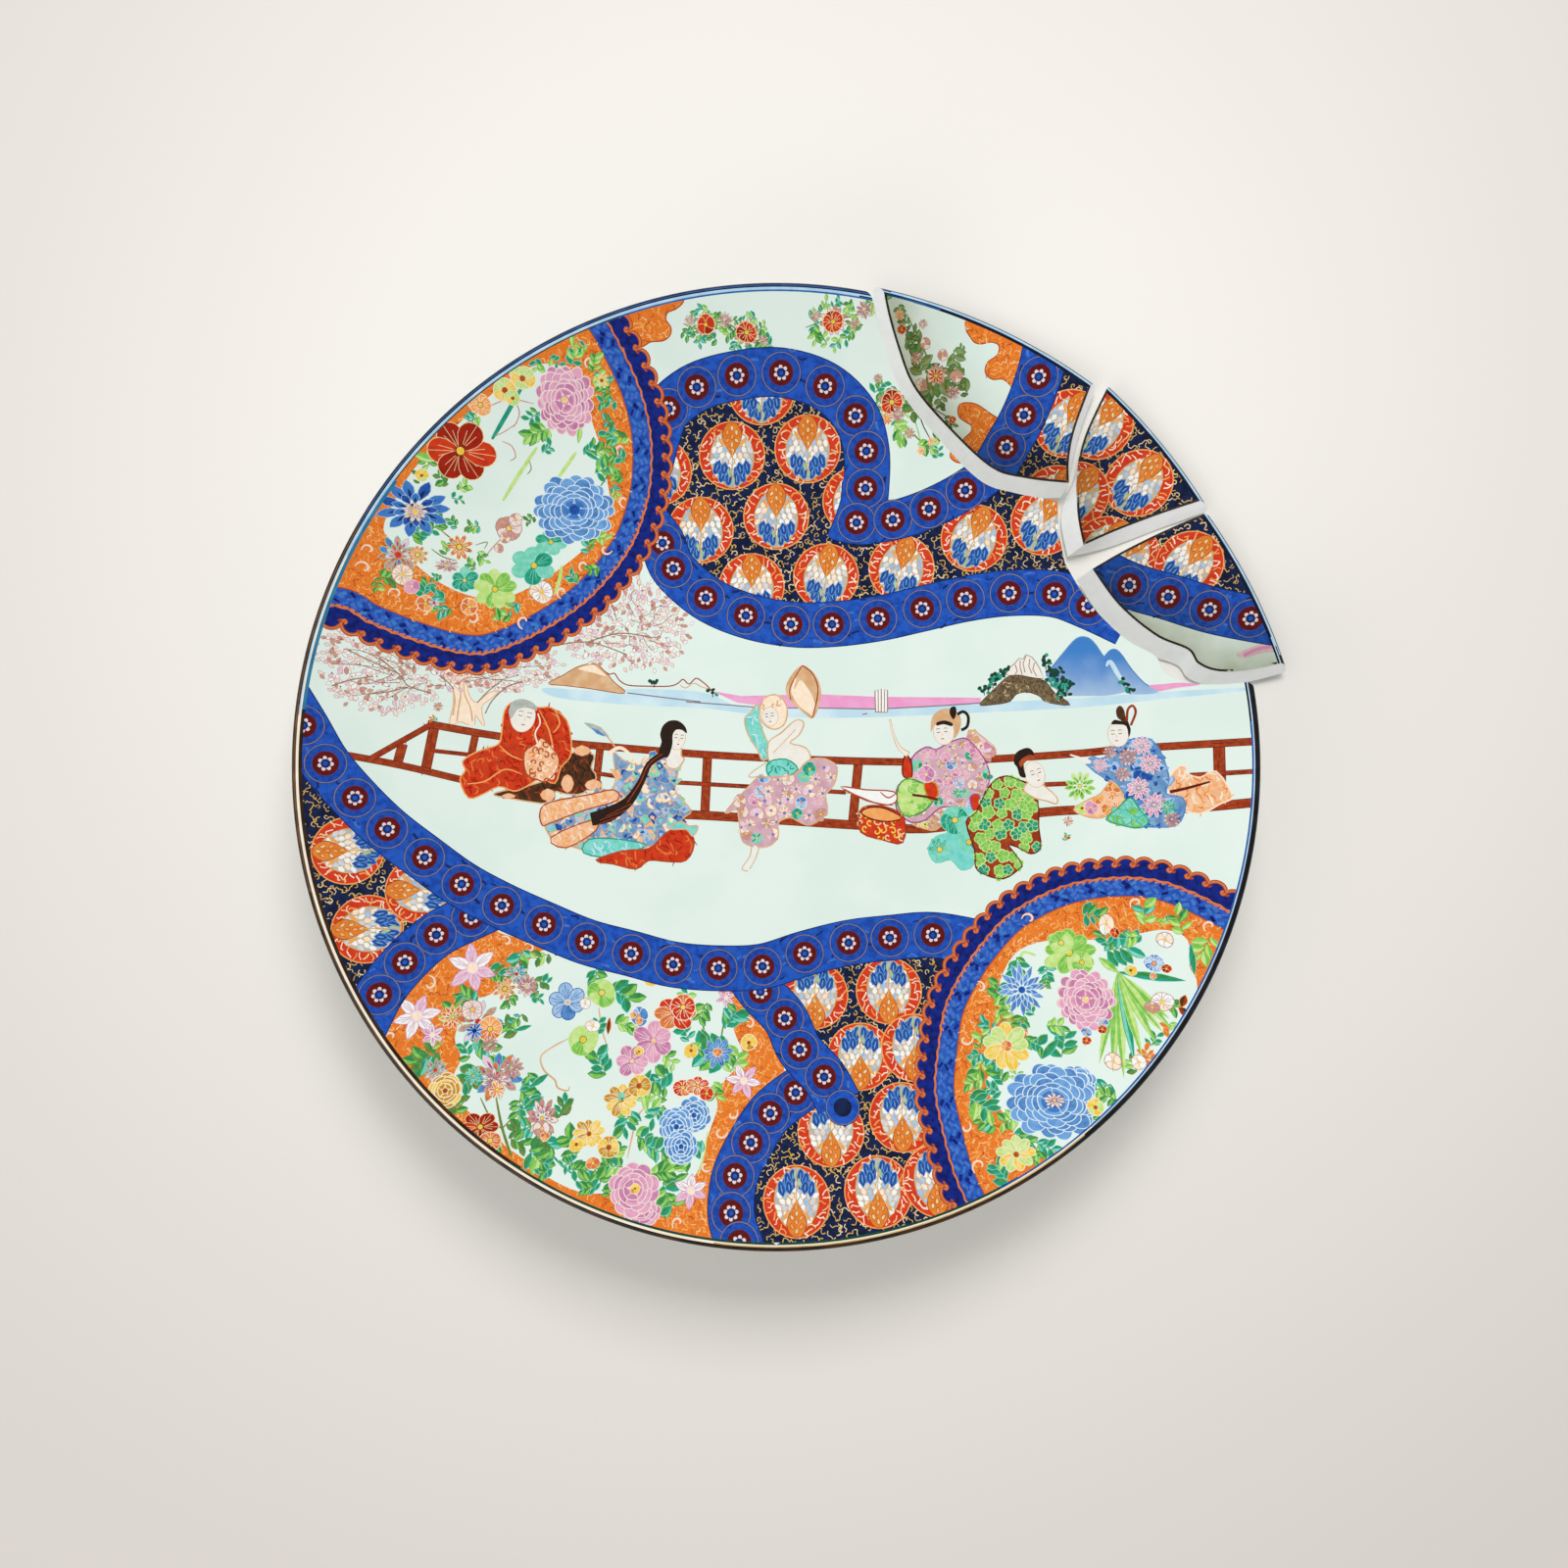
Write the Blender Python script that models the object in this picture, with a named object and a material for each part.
"""A large porcelain dish, broken: the dish itself, and the three shards of the wedge that left its rim.

Metres, +Z up. The dish lies face up on its foot ring, on the surface z = 0. The shards lie on that surface
too, painted side up and nearly level, each slid a little way out from the gap it left. The origin is the
middle of the whole group's box, on the surface. The dish is turned from one profile. Each crack is a wavy
line on the painted face that leans sideways on its way through the wall, and the same lines cut the dish
and the shards, so the pieces would fit together again.
"""

import math

import bmesh
import bpy
from mathutils import Euler, Matrix, Vector

# The turned dish.
RADIUS = 0.230
RIM_HEIGHT = 0.056
FLOOR_HEIGHT = 0.0175  # the painted floor above the table
FLOOR_RADIUS = 0.095  # where the flat floor starts to rise towards the rim
RISE_POWER = 1.9
WALL_AT_FOOT = 0.0082
LIP_THICKNESS = 0.0048
FOOT_OUTER = 0.1335
FOOT_INNER = 0.1225
FOOT_FLAT = (0.1262, 0.1300)  # inner and outer radius of the ring that touches the table
FOOT_BEVEL = 0.0012
BASE_HEIGHT = 0.0080
FACE_STEPS = 10
LIP_STEPS = 5
BACK_STEPS = 8
TURN_STEPS = 96

# The cracks, as (x, y, lean x, lean y): places on the painted face as shares of the radius, and how far
# the crack moves sideways for each unit that it goes in, square to the face. They start and end outside
# the rim.
CRACK_LEFT = [  # dish to left shard, from the rim inwards
    (0.187, 1.040, -0.85, -0.10),
    (0.201, 0.953, -0.85, -0.15),
    (0.231, 0.860, -0.82, -0.25),
    (0.267, 0.779, -0.75, -0.40),
    (0.343, 0.690, -0.65, -0.55),
    (0.430, 0.605, -0.45, -0.75),
    (0.501, 0.578, -0.30, -0.85),
    (0.590, 0.559, -0.50, -0.65),
]
CRACK_MIDDLE = [  # dish to middle shard
    (0.590, 0.559, -0.50, -0.65),
    (0.596, 0.491, -0.80, -0.20),
    (0.609, 0.430, -0.70, -0.50),
]
CRACK_RIGHT = [  # dish to right shard, out to the rim again
    (0.609, 0.430, -0.70, -0.50),
    (0.661, 0.346, -0.75, -0.55),
    (0.732, 0.272, -0.60, -0.75),
    (0.793, 0.234, -0.60, -0.75),
    (0.811, 0.201, -0.55, -0.75),
    (0.852, 0.178, -0.30, -0.90),
    (0.926, 0.172, -0.05, -0.90),
    (1.050, 0.184, 0.05, -0.90),
]
SPLIT_LEFT = [  # left shard to middle shard, from the inner end to the rim
    (0.590, 0.559, -0.50, -0.65),
    (0.592, 0.610, 0.20, -0.40),
    (0.606, 0.672, 0.50, -0.20),
    (0.643, 0.766, 0.60, -0.20),
    (0.672, 0.840, 0.60, -0.20),
]
SPLIT_RIGHT = [  # middle shard to right shard, from the inner end to the rim
    (0.609, 0.430, -0.70, -0.50),
    (0.677, 0.460, -0.25, -0.85),
    (0.763, 0.491, 0.15, -0.95),
    (0.855, 0.518, 0.30, -1.00),
    (0.945, 0.545, 0.30, -1.00),
]
CRACK_STEPS = 3  # straight pieces between two named points of a crack
OUTSIDE = 1.30  # the cutters' outer edge, as a share of the radius
CUT_ABOVE = 0.002  # how far over the face, and how far in, a cutter's wall leans
CUT_BELOW = 0.010
CUT_TOP = 0.120
CUT_BOTTOM = -0.030

# How each shard lies, level on its back: a place on its painted face before it broke off and where that
# place is now, both from the dish's axis as shares of the radius, and its turn about X, Y and Z in degrees.
SHARD_POSES = {
    "shard_left": ((0.430, 0.780), (0.4629, 0.8293), (-23.1, 12.4, -0.4)),
    "shard_middle": ((0.720, 0.620), (0.7882, 0.6779), (-17.8, 20.6, -3.8)),
    "shard_right": ((0.800, 0.360), (0.8858, 0.3817), (-10.4, 24.1, 4.1)),
}

PORCELAIN = (0.86, 0.91, 0.87, 1.0)


def clear_scene():
    for obj in list(bpy.data.objects):
        bpy.data.objects.remove(obj)


def porcelain(name):
    material = bpy.data.materials.new(name)
    material.use_nodes = True
    shader = material.node_tree.nodes["Principled BSDF"]
    shader.inputs["Base Color"].default_value = PORCELAIN
    shader.inputs["Roughness"].default_value = 0.12
    shader.inputs["Metallic"].default_value = 0.0
    return material


def lip():
    """The round lip's centre and the slope of the face where it meets the lip, in the profile's plane."""
    slope = math.atan(RISE_POWER * (RIM_HEIGHT - FLOOR_HEIGHT) / (RADIUS - FLOOR_RADIUS))
    half = LIP_THICKNESS / 2
    return Vector((RADIUS - half, RIM_HEIGHT - half)), slope


def face_end():
    """Where the face ends and the lip begins."""
    centre, slope = lip()
    return centre + LIP_THICKNESS / 2 * Vector((-math.sin(slope), math.cos(slope)))


def face_height(radius):
    """Height of the painted face at this radius."""
    end = face_end()
    share = max(0.0, (radius - FLOOR_RADIUS) / (end.x - FLOOR_RADIUS))
    return FLOOR_HEIGHT + (end.y - FLOOR_HEIGHT) * share**RISE_POWER


def face_normal(radius):
    """The way the face looks at this radius, in the profile's plane."""
    step = 1e-5
    slope = math.atan((face_height(radius + step) - face_height(radius)) / step)
    return Vector((-math.sin(slope), math.cos(slope)))


def back_point(radius):
    """The point of the back below the face at this radius, square to the face through the wall."""
    share = (radius - FOOT_OUTER) / (face_end().x - FOOT_OUTER)
    wall = WALL_AT_FOOT + (LIP_THICKNESS - WALL_AT_FOOT) * share
    return Vector((radius, face_height(radius))) - wall * face_normal(radius)


def profile():
    """The dish's section, as (radius, height) from the middle of the face round to the middle of the base."""
    end = face_end()
    centre, slope = lip()
    points = [Vector((0.0, FLOOR_HEIGHT))]
    for step in range(FACE_STEPS + 1):
        radius = FLOOR_RADIUS + (end.x - FLOOR_RADIUS) * step / FACE_STEPS
        points.append(Vector((radius, face_height(radius))))
    for step in range(1, LIP_STEPS):
        turn = math.pi / 2 + slope - math.pi * step / LIP_STEPS
        points.append(centre + LIP_THICKNESS / 2 * Vector((math.cos(turn), math.sin(turn))))
    for step in range(BACK_STEPS + 1):
        points.append(back_point(end.x + (FOOT_OUTER - end.x) * step / BACK_STEPS))
    inner, outer = FOOT_FLAT
    points += [
        Vector((outer + FOOT_BEVEL, FOOT_BEVEL)),
        Vector((outer, 0.0)),
        Vector((inner, 0.0)),
        Vector((inner - FOOT_BEVEL, FOOT_BEVEL)),
        Vector((FOOT_INNER, BASE_HEIGHT)),
        Vector((0.0, BASE_HEIGHT)),
    ]
    return points


def turned_dish():
    """The whole dish, before it broke."""
    bm = bmesh.new()
    corners = [bm.verts.new((point.x, 0.0, point.y)) for point in profile()]
    edges = [bm.edges.new(pair) for pair in zip(corners, corners[1:])]
    bmesh.ops.spin(
        bm,
        geom=corners + edges,
        axis=(0, 0, 1),
        cent=(0, 0, 0),
        angle=2 * math.pi,
        steps=TURN_STEPS,
        use_merge=True,
    )
    bmesh.ops.remove_doubles(bm, verts=bm.verts, dist=1e-6)
    bmesh.ops.recalc_face_normals(bm, faces=bm.faces)
    mesh = bpy.data.meshes.new("turned_dish")
    bm.to_mesh(mesh)
    bm.free()
    return mesh


def smooth_line(points):
    """A Catmull-Rom curve through a crack's named points."""
    line = []
    for i in range(len(points) - 1):
        p0, p1, p2, p3 = (Vector(points[min(max(i + k, 0), len(points) - 1)]) for k in (-1, 0, 1, 2))
        for step in range(CRACK_STEPS):
            t = step / CRACK_STEPS
            line.append(
                0.5 * (2 * p1 + (p2 - p0) * t + (2 * p0 - 5 * p1 + 4 * p2 - p3) * t**2)
                + 0.5 * (3 * p1 - p0 - 3 * p2 + p3) * t**3
            )
    return [*line, Vector(points[-1])]


def outer_arc(start, end):
    """Points round the outside from one crack's outer end to another's, clockwise, with no lean."""
    first, last = (math.atan2(point[1], point[0]) for point in (start, end))
    steps = 4
    arc = []
    for step in range(steps + 1):
        turn = first + (last - first) * step / steps
        arc.append(Vector((OUTSIDE * math.cos(turn), OUTSIDE * math.sin(turn), 0.0, 0.0)))
    return arc


def cutter(name, outline):
    """A closed block over the outline. Its sides stand upright, but lean as the cracks do within the wall."""
    levels = []
    for point in outline:
        place = RADIUS * Vector(point[:2])
        radius = min(place.length, RADIUS)
        normal = face_normal(radius)
        inward = Vector((*(-normal.x * place.normalized()), -normal.y)) + Vector((*point[2:], 0.0))
        on_face = Vector((*place, face_height(radius)))
        over, under = on_face - CUT_ABOVE * inward, on_face + CUT_BELOW * inward
        levels.append([(*over.xy, CUT_TOP), over, under, (*under.xy, CUT_BOTTOM)])
    bm = bmesh.new()
    rings = [[bm.verts.new(column[level]) for column in levels] for level in range(4)]
    loops = []
    for ring in rings:
        loops.append([bm.edges.new((a, b)) for a, b in zip(ring, ring[1:] + ring[:1])])
    for above, below in zip(loops, loops[1:]):
        bmesh.ops.bridge_loops(bm, edges=above + below)
    bm.faces.new(rings[0])
    bm.faces.new(rings[-1])
    bmesh.ops.triangulate(bm, faces=bm.faces)
    bmesh.ops.recalc_face_normals(bm, faces=bm.faces)
    mesh = bpy.data.meshes.new(name)
    bm.to_mesh(mesh)
    bm.free()
    block = bpy.data.objects.new(name, mesh)
    block.hide_render = True
    block.display_type = "WIRE"
    bpy.context.scene.collection.objects.link(block)
    return block


def broken_off(name, dish, block, operation):
    """The dish's mesh cut with a block, as a new mesh."""
    whole = bpy.data.objects.new(name + "_whole", dish)
    bpy.context.scene.collection.objects.link(whole)
    cut = whole.modifiers.new("cut", "BOOLEAN")
    cut.operation = operation
    cut.solver = "EXACT"
    cut.object = block
    graph = bpy.context.evaluated_depsgraph_get()
    mesh = bpy.data.meshes.new_from_object(whole.evaluated_get(graph))
    mesh.name = name
    bpy.data.objects.remove(whole)
    return mesh


def add_piece(name, mesh):
    mesh.shade_smooth()
    mesh.set_sharp_from_angle(angle=math.radians(30))
    mesh.materials.clear()
    mesh.materials.append(porcelain(name))
    piece = bpy.data.objects.new(name, mesh)
    bpy.context.scene.collection.objects.link(piece)
    return piece


def lay_shard(piece):
    """Turns a shard about a place on its face, slides it to where it lies and sets it down on the table."""
    broken_at, lies_at, turns = SHARD_POSES[piece.name]
    pivot = RADIUS * Vector(broken_at)
    piece.data.transform(Matrix.Translation((-pivot.x, -pivot.y, -face_height(pivot.length))))
    piece.rotation_euler = Euler([math.radians(turn) for turn in turns])
    turned = piece.rotation_euler.to_matrix()
    lowest = min((turned @ vertex.co).z for vertex in piece.data.vertices)
    piece.location = (*(RADIUS * Vector(lies_at)), -lowest)


def centre_on_table(pieces):
    """Slides everything so that the middle of the group's box is at the origin."""
    bpy.context.view_layer.update()
    corners = [piece.matrix_world @ vertex.co for piece in pieces for vertex in piece.data.vertices]
    low = Vector([min(corner[axis] for corner in corners) for axis in range(3)])
    high = Vector([max(corner[axis] for corner in corners) for axis in range(3)])
    middle = (low + high) / 2
    for piece in pieces:
        piece.location -= Vector((middle.x, middle.y, 0.0))


def main():
    clear_scene()
    dish = turned_dish()
    left, middle, right = (smooth_line(crack) for crack in (CRACK_LEFT, CRACK_MIDDLE, CRACK_RIGHT))
    split_left, split_right = smooth_line(SPLIT_LEFT), smooth_line(SPLIT_RIGHT)
    outlines = {
        "wedge": left + middle[1:] + right[1:] + outer_arc(right[-1], left[0]),
        "shard_left": left + split_left[1:] + outer_arc(split_left[-1], left[0]),
        "shard_middle": split_left[::-1]
        + middle[1:]
        + split_right[1:]
        + outer_arc(split_right[-1], split_left[-1]),
        "shard_right": split_right[::-1] + right[1:] + outer_arc(right[-1], split_right[-1]),
    }
    pieces = []
    for name, outline in outlines.items():
        block = cutter(name + "_cutter", outline)
        if name == "wedge":
            pieces.append(add_piece("plate_body", broken_off("plate_body", dish, block, "DIFFERENCE")))
        else:
            pieces.append(add_piece(name, broken_off(name, dish, block, "INTERSECT")))
            lay_shard(pieces[-1])
    centre_on_table(pieces)


main()
